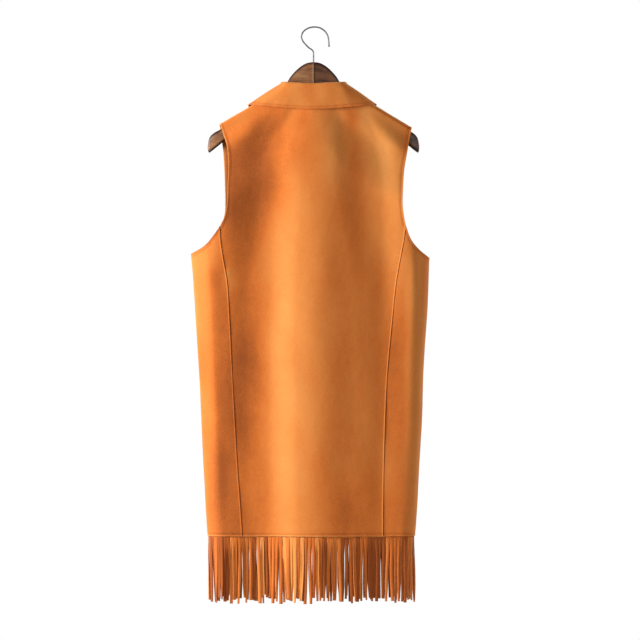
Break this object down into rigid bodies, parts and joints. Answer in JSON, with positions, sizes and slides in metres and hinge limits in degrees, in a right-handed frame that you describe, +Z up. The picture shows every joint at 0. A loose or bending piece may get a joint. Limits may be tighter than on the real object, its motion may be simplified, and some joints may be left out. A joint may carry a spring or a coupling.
{
  "type": "suede fringe vest on a wooden hanger",
  "caption": "Long sleeveless caramel suede vest with a turned-down collar, notched lapels, long back seams and a fringed hem, hung on a dark wooden hanger with a steel hook.",
  "frame": {"origin": "inner top of the hanger's hook, where a peg or rail carries the vest", "axes": "+Z up, -Y out of the vest's back, +Y out of its open front, -X towards the wearer's left"},
  "size_m": [0.4788, 0.1071, 1.1565],
  "materials": {
    "suede": "matt napped suede",
    "hanger_wood": "dark stained and varnished",
    "hook_steel": "plated"
  },
  "bodies": {
    "root": {"back_panel": "suede", "back_side_left": "suede", "back_side_right": "suede", "front_left": "suede", "front_right": "suede", "lapel_left": "suede", "lapel_right": "suede", "collar": "suede", "fringe_back": "suede", "fringe_front_left": "suede", "fringe_front_right": "suede", "hanger_arm_left": "hanger_wood", "hanger_arm_right": "hanger_wood", "hanger_hook": "hook_steel"}
  },
  "joints": []
}
